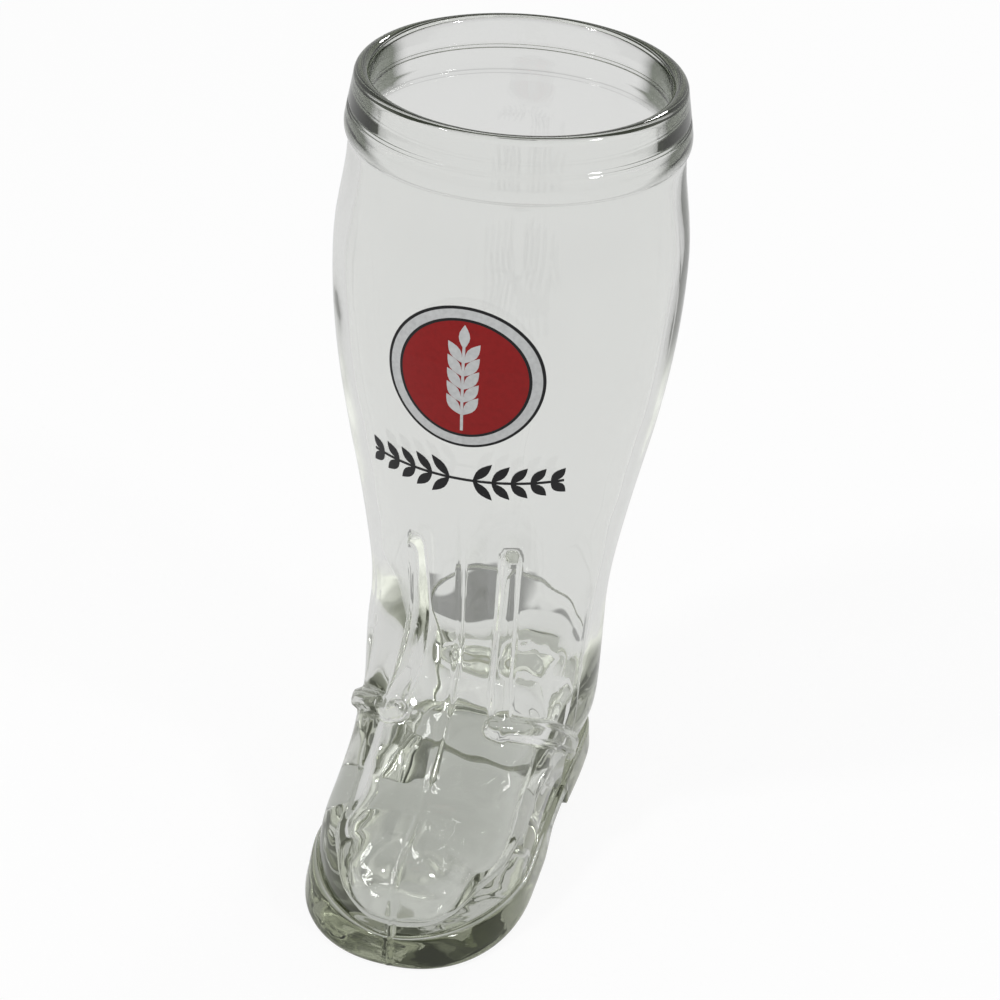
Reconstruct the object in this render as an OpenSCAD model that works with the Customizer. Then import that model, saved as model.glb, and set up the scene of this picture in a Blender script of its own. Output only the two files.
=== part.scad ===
// Beer boot glass: a pressed glass boot for half a litre, with a fired enamel print on its leg.
// Millimetres. The boot stands on its sole at z = 0, the toe points to -Y, and x = 0 is the plane
// of symmetry. The origin lies under the middle of the glass, and leg_y brings the leg's axis there.

/* [Leg] */
// Height from the table to the lip
boot_h = 200; // [190:1:215]
// Outer diameter at the calf, the widest place of the leg
calf_d = 86.6; // [82:0.2:92]
// Height of the calf above the table
calf_h = 153; // [145:1:160]
// Outer diameter at the ankle, the narrowest place of the leg
ankle_d = 60.8; // [57:0.2:64]
// Height of the ankle above the table
ankle_h = 54; // [51:1:58]
// Distance from the leg's axis forward to where the column of the leg meets the sole
seat_reach = 27; // [25:0.5:29]
// Thickness of the glass in the leg
wall = 4.2; // [3.4:0.1:5]

/* [Lip] */
// Outer diameter at the lip
lip_d = 79; // [76:0.2:82]
// Diameter of the mouth inside the lip
mouth_d = 71.4; // [69:0.2:73]
// Largest diameter of the flared collar
collar_d = 82.8; // [81:0.2:86]
// Height of the collar, lip included
collar_h = 17; // [14:0.5:20]
// Outer diameter of the neck under the collar
neck_d = 80.6; // [78:0.2:82]
// Depth of the two grooves round the collar
groove = 0.3; // [0.2:0.1:0.5]

/* [Foot] */
// Distance from the leg's axis to the tip of the toe
toe_reach = 89.4; // [85:0.2:95]
// Distance from the leg's axis to the back of the heel
heel_reach = 36; // [35:0.2:40]
// Distance from the leg's axis to the ball, the widest place of the sole
ball_reach = 52; // [48:0.5:56]
// Width of the sole at the ball
sole_w = 55.2; // [53:0.2:59]
// Width of the heel
heel_w = 55; // [53:0.2:58]
// Thickness of the sole, up to the welt
sole_t = 8; // [7:0.25:9.5]
// How far the welt stands back from the widest edge of the sole
welt_in = 1.6; // [1.2:0.1:2]
// Width of the welt's ledge round the upper
welt_w = 0.4; // [0.3:0.1:0.8]
// Rounding of the sole's lower edge
sole_round = 1.4; // [0.8:0.1:2]
// Height of the arch between the sole and the heel
arch_h = 5.5; // [4:0.25:6]
// Distance from the leg's axis forward to the breast of the heel
breast_reach = 11; // [8:0.5:14]
// Distance from the leg's axis forward to the front of the arch
arch_reach = 38; // [34:0.5:42]
// Thickness of the glass under the drink
floor_t = 12; // [10:0.5:14]

/* [Heel counter] */
// How far the heel counter stands out of the glass
counter_relief = 1.2; // [0.9:0.1:1.6]
// Height of the counter's lower edge above the table
counter_low = 11; // [10:0.5:14]
// Height of the counter's upper edge at the back
counter_top = 46; // [42:0.5:50]
// Half of the angle that the counter covers round the heel, at its lower edge, in degrees
counter_turn = 72; // [60:1:80]

/* [Strap and ribs] */
// How far the strap stands out of the glass
strap_relief = 2.2; // [1.5:0.1:3]
// Width of the strap
strap_w = 6.6; // [5.5:0.1:8]
// Half of the gap that the strap leaves open over the instep
strap_gap = 11.6; // [10:0.2:13]
// Diameter of the stud at each end of the strap
stud_d = 5; // [4:0.1:6]
// How far from the front line each shin rib stands, to its middle
rib_x = 13.2; // [11:0.2:15]
// Width of a shin rib at its lower end
rib_w = 5.4; // [4:0.1:7]
// Height of the top of the shin ribs
rib_top = 87; // [80:1:95]

/* [Print] */
// Thickness of the fired enamel
enamel_t = 0.15; // [0.1:0.05:0.3]
// Diameter of the round badge
badge_d = 38; // [34:0.5:41]
// Height of the middle of the badge
badge_h = 140; // [137:1:144]
// Width of the silver rim of the badge
badge_rim = 3; // [2:0.1:4]
// Width of the black outlines
outline_w = 0.7; // [0.5:0.1:1]
// Length of one grain of the barley ear
grain_l = 6.4; // [5:0.1:7]
// Width of one grain of the barley ear
grain_w = 2.7; // [2:0.1:3]
// Length of the vine under the badge
vine_l = 47; // [40:0.5:52]
// Height of the middle of the vine
vine_h = 111; // [108:0.5:113]
// Length of one leaf of the vine
leaf_l = 7.2; // [6:0.1:8]

/* [Hidden] */

glass_colour = [0.80, 0.84, 0.81, 0.45];
calf_r = calf_d / 2;
ankle_r = ankle_d / 2;
neck_r = neck_d / 2;
neck_h = boot_h - collar_h;
lip_t = (lip_d - mouth_d) / 2;
leg_y = (toe_reach - calf_r) / 2;
// Height inside the sole, above the arch, at which the upper and the leg start
root_h = (arch_h + sole_t) / 2;

// Facets round the leg, round the foot's outline and over the foot's back
leg_facets = 48;
outline_steps = 12;
dome_steps = 16;
// Facets round the leg under the enamel, and round the badge
enamel_facets = 120;
badge_facets = 60;
// Superellipse powers of the sole's toe, of the welt's pointed toe, of the heel, of the upper over
// the toes and over the instep, and of the hollow's floor
sole_power = 2.25;
welt_power = 1.75;
heel_power = 2.3;
dome_power = 2.3;
instep_power = 1.75;
floor_power = 2.4;
// Powers that shape the swell of the leg, from the ankle to the calf and from the calf to the neck
rise_power = 0.9;
fall_power = 1.15;

// The foot's top line seen from the side, from the toe back into the leg: [share of toe_reach,
// share of ankle_h]
instep_shares = [[0.974, 0.24], [0.968, 0.33], [0.953, 0.41], [0.925, 0.462], [0.87, 0.49],
    [0.78, 0.508], [0.70, 0.533], [0.625, 0.585], [0.548, 0.667], [0.475, 0.75], [0.414, 0.833],
    [0.37, 0.926], [0.336, 1.05], [0.28, 1.12], [0.17, 1.05], [0.06, 0.85], [-0.035, 0.3]];
// The hollow of the foot: [share of toe_reach, half width as a share of sole_w, underside and top
// as shares of ankle_h]
hollow_shares = [[0.93, 0.06, 0.24, 0.3], [0.915, 0.17, 0.18, 0.37], [0.87, 0.24, 0.16, 0.42],
    [0.79, 0.275, 0.16, 0.435], [0.70, 0.295, 0.163, 0.46], [0.62, 0.31, 0.17, 0.51],
    [0.54, 0.32, 0.18, 0.58], [0.46, 0.335, 0.195, 0.675], [0.37, 0.355, 0.21, 0.79],
    [0.22, 0.37, 0.23, 0.88], [0, 0.375, 0.24, 0.9], [-0.14, 0.35, 0.25, 0.88],
    [-0.24, 0.25, 0.27, 0.8], [-0.27, 0.12, 0.32, 0.7]];
// The strap's path seen from the side, as shares of toe_reach and ankle_h
strap_shares = [[0.435, 0.745], [0.15, 0.45], [0.085, 0.28]];

function mix(a, b, t) = a + (b - a) * t;
function ease(t) = (1 - cos(180 * max(0, min(1, t)))) / 2;
function power(x, p) = pow(max(0, x), p);

// Catmull-Rom curve through the points of a list, for t from 0 to 1
function curve(points, t) =
    let (n = len(points) - 1, k = min(n - 1, floor(t * n)), u = t * n - k,
        a = points[max(0, k - 1)], b = points[k], c = points[k + 1], d = points[min(n, k + 2)])
    (2 * b + (c - a) * u + (2 * a - 5 * b + 4 * c - d) * u * u
        + (3 * b - a - 3 * c + d) * u * u * u) / 2;

// Outer radius of the leg at height z, from the ankle up
function leg_r(z) =
    z > calf_h ? mix(calf_r, neck_r, ease(power((z - calf_h) / (neck_h - calf_h), fall_power)))
    : mix(ankle_r, calf_r, ease(power((z - ankle_h) / (calf_h - ankle_h), rise_power)));

// How far the column of the leg has turned into the heel at height z, from 0 to 1
function heel_share(z) = ease((ankle_h - z) / (ankle_h - sole_t));

// Half width, middle, reach to the back and to the front, and power of the column at height z
function column(z) =
    let (t = heel_share(z), r = leg_r(z), mid = heel_reach / 4 * t, edge = welt_in + welt_w)
    [mix(r, heel_w / 2 - edge, t), mid, mix(r, heel_reach - edge, t) - mid,
        mix(r, seat_reach, t) + mid, mix(2, heel_power, t)];

// The point of the column at height z and angle a from the front, moved out by grow
function column_point(z, a, grow) =
    let (c = column(z), n = 2 / c[4], ahead = cos(a) > 0)
    [(c[0] + grow) * sign(sin(a)) * power(abs(sin(a)), n),
     c[1] + (ahead ? -(c[3] + grow) : c[2] + grow) * power(abs(cos(a)), n), z];

// Half width of the foot's plan at y, drawn in by inset, with the given power at the toe
function plan_w(y, inset, toe_power) =
    let (toe = toe_reach - inset, heel = heel_reach - inset, mid = heel_reach / 4)
    y < -ball_reach ? (sole_w / 2 - inset)
        * power(1 - power((-y - ball_reach) / (toe - ball_reach), toe_power), 1 / toe_power)
    : y < mid ? mix(sole_w, heel_w, (y + ball_reach) / (mid + ball_reach)) / 2 - inset
    : (heel_w / 2 - inset) * power(1 - power((y - mid) / (heel - mid), heel_power), 1 / heel_power);

// The foot's plan as a ring at height z, from the toe round the right side and back
function plan_ring(z, inset, toe_power) =
    let (toe = toe_reach - inset, heel = heel_reach - inset, mid = heel_reach / 4,
        front = [for (k = [0 : outline_steps]) let (a = 90 * k / outline_steps)
            [(sole_w / 2 - inset) * power(sin(a), 2 / toe_power),
             -ball_reach - (toe - ball_reach) * power(cos(a), 2 / toe_power)]],
        back = [for (k = [0 : outline_steps]) let (a = 90 * k / outline_steps)
            [(heel_w / 2 - inset) * power(cos(a), 2 / heel_power),
             mid + (heel - mid) * power(sin(a), 2 / heel_power)]],
        right = concat(front, back))
    concat([for (p = right) [p[0], p[1], z]],
        [for (k = [len(right) - 2 : -1 : 1]) [-right[k][0], right[k][1], z]]);

// Solid through rings of equal length, counter-clockwise from above when they climb
module loft(rings) {
    n = len(rings[0]);
    polyhedron(points = [for (ring = rings) each ring],
        faces = concat(
            [[for (k = [0 : n - 1]) k]],
            [for (r = [0 : len(rings) - 2], k = [0 : n - 1]) let (j = (k + 1) % n)
                each [[r * n + k, (r + 1) * n + j, r * n + j],
                      [r * n + k, (r + 1) * n + k, (r + 1) * n + j]]],
            [[for (k = [n - 1 : -1 : 0]) (len(rings) - 1) * n + k]]));
}

// Heights of the leg's rings, from the ankle to the calf and on to the neck
leg_heights = concat([for (k = [0 : 9]) mix(ankle_h, calf_h, k / 10)],
    [for (k = [0 : 5]) mix(calf_h, neck_h, k / 5)]);

// Radius at height z of the corners of the leg, which runs straight from ring to ring
function skin_r(z) = lookup(z, [for (h = leg_heights) [h, leg_r(h)]]);

// The leg from the sole up to the lip: the heel's rings, then round ones
module leg_form() {
    heel_steps = 7;
    heel = [for (k = [0 : heel_steps - 1]) mix(root_h, ankle_h, k / heel_steps)];
    round_rings = concat([for (z = leg_heights) [leg_r(z), z]], collar_crown());
    turn = [for (k = [0 : leg_facets - 1]) 360 * k / leg_facets];
    loft(concat([for (z = heel) [for (a = turn) column_point(z, a, 0)]],
        [for (p = round_rings) [for (a = turn) [p[0] * sin(a), -p[0] * cos(a), p[1]]]]));
}

// The heel counter: a raised band round the back of the heel, narrower towards its upper edge
module counter() {
    steps = 7;
    sides = 14;
    top_share = 0.45;
    inset = wall / 2;
    loft([for (s = [0 : steps])
        let (t = s / steps, z = mix(counter_low, counter_top, t),
            half = counter_turn * mix(1, top_share, power(t, heel_power)),
            turn = [for (k = [0 : sides]) 180 + half * (2 * k / sides - 1)])
        concat([for (a = turn) column_point(z, a, counter_relief)],
            [for (k = [sides : -1 : 0]) column_point(z, turn[k], -inset)])]);
}

// The profile of the flared collar with its two grooves and its round lip
function collar_crown() =
    let (r = lip_t / 2, flare = collar_d / 2, top = boot_h - r, low = neck_h + collar_h * 0.25)
    concat([[mix(neck_r, flare, 0.6), neck_h + collar_h * 0.14], [flare, low]],
        [for (p = [[0.3, 0], [0.34, 1], [0.38, 0], [0.42, 1], [0.46, 0]])
            [mix(flare, lip_d / 2, p[0]) - groove * p[1], mix(low, top, p[0])]],
        [for (a = [0 : 30 : 90]) [lip_d / 2 - r + r * cos(a), boot_h - r + r * sin(a)]]);

// Half width of the upper at y, and the power of its dome there, which is sharper at the instep
function upper_w(y) = plan_w(y, welt_in + welt_w, welt_power);
function upper_power(y) =
    mix(dome_power, instep_power, ease((y + ball_reach) / (ball_reach - ankle_r)));

// The foot above the welt, as a row of domes whose tops follow the top line into the leg
module foot_form() {
    line = [for (p = instep_shares) [-p[0] * toe_reach, p[1] * ankle_h]];
    stations = 22;
    loft([for (s = [stations : -1 : 0])
            let (p = curve(line, s / stations), w = upper_w(p[0]), n = 2 / upper_power(p[0]))
        [for (k = [0 : dome_steps]) let (a = 180 * k / dome_steps)
            [w * sign(cos(a)) * power(abs(cos(a)), n), p[0],
             root_h + (p[1] - root_h) * power(sin(a), n)]]]);
}

// The sole and the heel: a flared slab with a rounded lower edge, hollowed at the arch
module sole() {
    difference() {
        loft([plan_ring(0, sole_round, sole_power),
            plan_ring(sole_round * (1 - cos(45)), sole_round * (1 - sin(45)), sole_power),
            plan_ring(sole_round, 0, sole_power),
            plan_ring(sole_t / 2, welt_in * 0.2, mix(sole_power, welt_power, 0.4)),
            plan_ring(sole_t * 0.94, welt_in * 0.55, mix(sole_power, welt_power, 0.85)),
            plan_ring(sole_t, welt_in, welt_power)]);
        rotate([90, 0, 90])
            linear_extrude(height = 2 * sole_w, center = true)
                polygon([[-arch_reach, -arch_h], [-arch_reach, 0],
                    [-mix(arch_reach, breast_reach, 0.25), arch_h * 0.75],
                    [-mix(arch_reach, breast_reach, 0.5), arch_h],
                    [-mix(arch_reach, breast_reach, 0.85), arch_h],
                    [-breast_reach, arch_h * 0.7], [-breast_reach, -arch_h]]);
    }
}

// Top of the foot at y, from the points of its top line
function top_z(y) = lookup(y, [for (p = instep_shares) [-p[0] * toe_reach, p[1] * ankle_h]]);

// Half width of the boot's skin at the given y and z, below the ankle
function side_x(y, z) =
    let (c = column(z), reach = y > c[1] ? c[2] : c[3], p = upper_power(y),
        rise = (z - root_h) / (top_z(y) - root_h))
    max(c[0] * power(1 - power(abs(y - c[1]) / reach, c[4]), 1 / c[4]),
        upper_w(y) * power(1 - power(rise, p), 1 / p));

// The strap, a rounded band on each side that starts beside the front line, runs down round the
// ankle and bends towards the arch
module strap() {
    path = [for (p = strap_shares) [-p[0] * toe_reach, p[1] * ankle_h]];
    steps = 6;
    r = strap_w / 2;
    for (side = [-1, 1], k = [0 : steps - 1])
        hull()
            for (j = [k, k + 1])
                let (p = curve(path, j / steps))
                    translate([side * (side_x(p[0], p[1]) - r + strap_relief), p[0], p[1]])
                        sphere(r = r, $fn = 10);
}

// A shin rib on each side of the front line, pointed above and widening to the strap
module ribs() {
    low = strap_shares[0][1] * ankle_h;
    steps = 4;
    sides = 6;
    for (side = [-1, 1])
        loft([for (s = [0 : steps])
            let (z = mix(low, rib_top, s / steps), r = leg_r(z),
                y = -sqrt(r * r - rib_x * rib_x), w = mix(rib_w, rib_w / 9, pow(s / steps, 1.5)))
            [for (k = [0 : sides - 1]) let (a = 360 * k / sides)
                [side * rib_x + w / 2 * cos(a), y + w / 2 * sin(a), z]]]);
}

// Height of the foot's skin at x and y
function back_z(x, y) =
    let (p = upper_power(y))
    root_h + (top_z(y) - root_h) * power(1 - power(x / upper_w(y), p), 1 / p);

// The stud at the upper end of each strap
module studs() {
    y = -strap_shares[0][0] * toe_reach;
    for (side = [-1, 1])
        translate([side * strap_gap, y, back_z(strap_gap, y)])
            sphere(d = stud_d, $fn = 12);
}

// The hollow of the leg, round at the ankle, with the straight mouth above
module leg_hollow() {
    deep = ankle_h - floor_t;
    inner = ankle_r - wall;
    r = lip_t / 2;
    step_h = boot_h - collar_h * 0.7;
    rotate_extrude($fn = leg_facets)
        polygon(concat([[0, floor_t]],
            [for (a = [20 : 20 : 80])
                [inner * power(sin(a), 2 / floor_power),
                 ankle_h - deep * power(cos(a), 2 / floor_power)]],
            [for (k = [0 : 7]) let (z = mix(ankle_h, step_h - wall / 2, k / 7)) [leg_r(z) - wall, z]],
            [[mouth_d / 2, step_h], [mouth_d / 2, boot_h - r]],
            [for (a = [150 : -22 : 106]) [lip_d / 2 - r + r * cos(a), boot_h - r + r * sin(a)]],
            [[lip_d / 2 - r * 1.3, boot_h + r], [0, boot_h + r]]));
}

// The hollow of the foot, a row of rounded sections that ends in the bulb of the toe
module foot_hollow() {
    stations = 14;
    steps = 18;
    loft([for (s = [stations : -1 : 0]) let (p = curve(hollow_shares, s / stations),
            w = p[1] * sole_w, low = p[2] * ankle_h, high = p[3] * ankle_h)
        [for (k = [0 : steps - 1]) let (a = 360 * k / steps)
            [w * sign(cos(a)) * power(abs(cos(a)), 2 / dome_power), -p[0] * toe_reach,
             (low + high) / 2 + (high - low) / 2 * sign(sin(a)) * power(abs(sin(a)), 2 / dome_power)]]]);
}

module glass_boot() {
    color(glass_colour)
        translate([0, leg_y, 0])
            difference() {
                union() {
                    leg_form();
                    foot_form();
                    sole();
                    counter();
                    strap();
                    ribs();
                    studs();
                }
                leg_hollow();
                foot_hollow();
            }
}

// The enamel of one colour: a thin skin on the front of the leg, as wide as the drawing given. Its
// profile bends at the leg's own rings, and its facets stand outside the leg's.
module enamel() {
    low = vine_h - leaf_l;
    high = badge_h + badge_d / 2 + outline_w;
    heights = concat([low], [for (z = leg_heights) if (z > low && z < high) z], [high]);
    skin = [for (z = heights) skin_r(z) / cos(180 / enamel_facets)];
    last = len(heights) - 1;
    translate([0, leg_y, 0])
        intersection() {
            rotate_extrude($fn = enamel_facets)
                polygon(concat([for (k = [0 : last]) [skin[k] + enamel_t, heights[k]]],
                    [for (k = [last : -1 : 0]) [skin[k], heights[k]]]));
            rotate([90, 0, 0])
                linear_extrude(height = calf_d)
                    children();
        }
}

// A pointed leaf from the origin along +Y, a lens of two arcs
module leaf(l, w) {
    polygon([for (s = [1, -1], k = [0 : 5]) let (t = s > 0 ? k / 6 : 1 - k / 6)
        [s * w / 2 * sin(180 * t), l * t]]);
}

// The barley ear: pairs of grains up a straight stem, and one grain on top
module ear() {
    pairs = 5;
    pitch = grain_l * 0.56;
    start = -badge_d / 2 + badge_rim + outline_w + grain_l * 0.85;
    translate([-outline_w / 2, start - grain_l * 0.7])
        square([outline_w, pairs * pitch + grain_l * 1.2]);
    for (k = [0 : pairs - 1], side = [-1, 1])
        translate([side * outline_w * 0.4, start + k * pitch])
            rotate(-side * 34)
                leaf(grain_l, grain_w);
    translate([0, start + pairs * pitch])
        leaf(grain_l, grain_w);
}

module badge_place() {
    translate([0, badge_h])
        children();
}

module ring(outer, inner) {
    difference() {
        circle(r = outer, $fn = badge_facets);
        circle(r = inner, $fn = badge_facets);
    }
}

module print_silver() {
    color([0.78, 0.79, 0.80])
        enamel()
            badge_place() {
                ring(badge_d / 2 - outline_w, badge_d / 2 - badge_rim);
                ear();
            }
}

module print_red() {
    color([0.72, 0.10, 0.10])
        enamel()
            badge_place()
                difference() {
                    circle(r = badge_d / 2 - badge_rim - outline_w, $fn = badge_facets);
                    ear();
                }
}

// The black outlines of the badge and the vine of leaves under it
module print_black() {
    color([0.08, 0.08, 0.08])
        enamel() {
            badge_place() {
                ring(badge_d / 2, badge_d / 2 - outline_w);
                ring(badge_d / 2 - badge_rim, badge_d / 2 - badge_rim - outline_w);
            }
            translate([-vine_l / 2, vine_h - outline_w / 2])
                square([vine_l, outline_w]);
            for (side = [-1, 1], k = [0 : 4])
                translate([side * vine_l * (0.06 + 0.095 * k), vine_h])
                    for (up = [-1, 1])
                        rotate(-side * (up > 0 ? 40 : 140))
                            leaf(leaf_l * (1 - 0.08 * k), leaf_l * 0.34);
        }
}

glass_boot();
print_silver();
print_red();
print_black();
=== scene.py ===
"""Beer boot glass: a clear pressed glass boot with a fired enamel print on its leg.

The glass is one closed surface of rings, from the tip of the hollow toe up to the lip and down the
outside to the sole. Lengths are metres, the toe points to -Y and the sole lies on z = 0. The forms are
worked out round a leg whose axis is at y = 0, and GlassBoot.build moves them to y = AXIS_Y.
"""

import logging
import math
from collections.abc import Callable, Sequence
from dataclasses import dataclass, field
from enum import Enum

import bpy
import numpy as np
from mathutils import Matrix, Vector


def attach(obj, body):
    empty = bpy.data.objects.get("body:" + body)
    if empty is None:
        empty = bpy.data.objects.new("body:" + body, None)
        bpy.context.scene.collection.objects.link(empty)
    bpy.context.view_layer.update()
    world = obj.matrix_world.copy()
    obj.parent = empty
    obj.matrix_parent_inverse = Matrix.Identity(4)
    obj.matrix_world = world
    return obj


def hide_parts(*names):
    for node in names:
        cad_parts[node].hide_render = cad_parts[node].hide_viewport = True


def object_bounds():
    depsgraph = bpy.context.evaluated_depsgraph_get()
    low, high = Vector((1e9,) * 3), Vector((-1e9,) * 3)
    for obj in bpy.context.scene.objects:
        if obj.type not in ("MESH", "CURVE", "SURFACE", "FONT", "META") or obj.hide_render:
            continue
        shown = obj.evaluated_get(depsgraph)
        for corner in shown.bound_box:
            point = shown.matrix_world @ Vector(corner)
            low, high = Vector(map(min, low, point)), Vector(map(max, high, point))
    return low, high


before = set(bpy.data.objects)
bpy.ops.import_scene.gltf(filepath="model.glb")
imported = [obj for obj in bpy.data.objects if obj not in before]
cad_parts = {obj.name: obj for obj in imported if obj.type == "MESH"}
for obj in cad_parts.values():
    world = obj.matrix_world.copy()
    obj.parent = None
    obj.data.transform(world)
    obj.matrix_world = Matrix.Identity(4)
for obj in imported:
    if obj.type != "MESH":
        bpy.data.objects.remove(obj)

log = logging.getLogger("boot")
CAD_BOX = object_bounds()
MM = 0.001
ML = 1e-6
AXIS_Y = 0.02305
RING = 384
HALF_RING = RING // 2

Array = np.ndarray
Colour = tuple[float, float, float]
Place = tuple[float, float, float]
Span = tuple[float, float]
Table = tuple[tuple[float, ...], ...]
Socket = bpy.types.NodeSocket
Value = float | Sequence[float] | Socket
Values = dict[str | int, Value]


# Formulas


def ease(t: Array) -> Array:
    """Half a cosine wave from 0 to 1, level at both ends."""
    return (1 - np.cos(np.pi * np.clip(t, 0, 1))) / 2


def mix(a: float | Array, b: float | Array, t: float | Array) -> float | Array:
    """The value t of the way from a to b."""
    return a + (b - a) * t


def superellipse(a: Array, b: Array, power: float | Array) -> Array:
    """The size of a pair: the root, by power, of the sum of both to that power. 1 is the outline."""
    return (a**power + b**power) ** (1 / power)


def dome(t: Array, power: float = 2.4, foot: float = 0.35) -> Array:
    """The height of a round ridge at share t of its half width: a superellipse with a soft foot."""
    return np.sqrt(1 - np.clip(t, 0, 1) ** power) * ease((1 - t) / foot)


def blend_union(a: Array, b: Array, width: float) -> Array:
    """The lesser of two distances, rounded over width where they are near each other."""
    near = np.maximum(width - np.abs(a - b), 0) / width
    return np.minimum(a, b) - near**2 * width / 4


def length_along(line: Array) -> Array:
    """The way along a line of points, from the first of them to each."""
    return np.r_[0, np.cumsum(np.linalg.norm(np.diff(line, axis=0), axis=1))]


def smooth_line(points: Sequence[Sequence[float]], count: int, fine: int = 40) -> Array:
    """Samples a Catmull-Rom curve through points, evenly along its length.

    Args:
        points: places in order.
        count: how many samples.
        fine: steps from one place to the next before the samples are spread.

    Returns:
        An array of count rows.
    """
    p = np.array(points, float)
    q = np.vstack([2 * p[0] - p[1], p, 2 * p[-1] - p[-2]])
    t = np.linspace(0, len(p) - 1, fine * len(p))
    k = np.minimum(t.astype(int), len(p) - 2)
    u = (t - k)[:, None]
    a, b, c, d = q[k], q[k + 1], q[k + 2], q[k + 3]
    square, cube = (2 * a - 5 * b + 4 * c - d) * u**2, (3 * b - a - 3 * c + d) * u**3
    line = (2 * b + (c - a) * u + square + cube) / 2
    length = length_along(line)
    at = np.linspace(0, length[-1], count)
    return np.stack([np.interp(at, length, line[:, i]) for i in range(p.shape[1])], 1)


def ripple(points: Array, wave: float, seed: int, waves: int = 14) -> Array:
    """Smooth unevenness between about -1 and 1: a sum of sine waves in random directions.

    Args:
        points: places, with x, y and z in the last axis.
        wave: mean wavelength.
        seed: picks the directions and phases.
        waves: how many sine waves are added.

    Returns:
        One value for each place.
    """
    rng = np.random.default_rng(seed)
    direction = rng.normal(size=(waves, 3))
    direction /= np.linalg.norm(direction, axis=1, keepdims=True)
    lengths = wave * rng.uniform(0.6, 1.6, waves)
    phases = rng.uniform(0, 2 * np.pi, waves)
    total = np.zeros(points.shape[:-1])
    for way, length, phase in zip(direction, lengths, phases):
        total += np.sin(2 * np.pi * (points @ way) / length + phase)
    return total / math.sqrt(waves)


def search(distance: Callable[[Array], Array], start: Array, direction: Array, reach: float,
           halvings: int = 30) -> Array:
    """Finds where rays leave a solid, by halving the interval.

    Args:
        distance: a function of places, below 0 inside the solid.
        start: where each ray starts, inside.
        direction: where each ray goes.
        reach: a length that is surely outside.
        halvings: how often the interval is halved.

    Returns:
        The places on the surface.
    """
    low = np.zeros(direction.shape[:-1])
    high = np.full(direction.shape[:-1], reach)
    for _ in range(halvings):
        middle = (low + high) / 2
        inside = distance(start + direction * middle[..., None]) < 0
        low = np.where(inside, middle, low)
        high = np.where(inside, high, middle)
    return start + direction * ((low + high) / 2)[..., None]


def turns(count: int) -> Array:
    """Angles of count points spread evenly round a ring."""
    return np.arange(count) * 2 * np.pi / count


def spokes(count: int) -> Array:
    """Level directions from the axis, spread evenly, from the toe's side round the right."""
    turn = turns(count)
    return np.stack([np.sin(turn), -np.cos(turn), 0 * turn], -1)


def on_axis(z: Array) -> Array:
    """The places of the leg's axis at the heights z, with an axis for the points of a ring."""
    return np.stack([0 * z, 0 * z, z], -1)[:, None]


def normals(rings: Array, sample: int) -> Array:
    """Normals of a grid of rings, from differences along and round, away from the ring's middle.

    Args:
        rings: points, by ring and round it.
        sample: the ring at which outwards is decided.

    Returns:
        A unit vector for each point.
    """
    n = np.cross(np.gradient(rings, axis=0), np.roll(rings, -1, 1) - np.roll(rings, 1, 1))
    n = n / np.maximum(np.linalg.norm(n, axis=-1, keepdims=True), 1e-12)
    return n * np.sign(np.sum(n[sample] * (rings[sample] - rings[sample].mean(0)), -1).mean())


def grid_faces(rows: int, count: int, start: int) -> Array:
    """Quads between rings of equal length, whose points follow one another from start.

    Args:
        rows: how many rings.
        count: points in a ring.
        start: index of the first point.

    Returns:
        Four indices for each quad.
    """
    k = np.arange(count)
    j = (k + 1) % count
    row = start + (np.arange(rows - 1) * count)[:, None]
    return np.stack([row + k, row + j, row + count + j, row + count + k], -1).reshape(-1, 4)


def outward(mesh: bpy.types.Mesh) -> None:
    """Turns all faces round if the mesh's signed volume is below 0.

    Args:
        mesh: a closed mesh.
    """
    mesh.calc_loop_triangles()
    co = np.empty(len(mesh.vertices) * 3)
    mesh.vertices.foreach_get("co", co)
    tri = np.empty(len(mesh.loop_triangles) * 3, int)
    mesh.loop_triangles.foreach_get("vertices", tri)
    a, b, c = co.reshape(-1, 3)[tri.reshape(-1, 3)].transpose(1, 0, 2)
    volume = np.einsum("ij,ij->i", a, np.cross(b, c)).sum() / 6
    if volume < 0:
        mesh.flip_normals()
    log.info("%s: %.1f ml, %d triangles", mesh.name, abs(volume) / ML, len(tri) // 3)


# Forms


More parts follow.
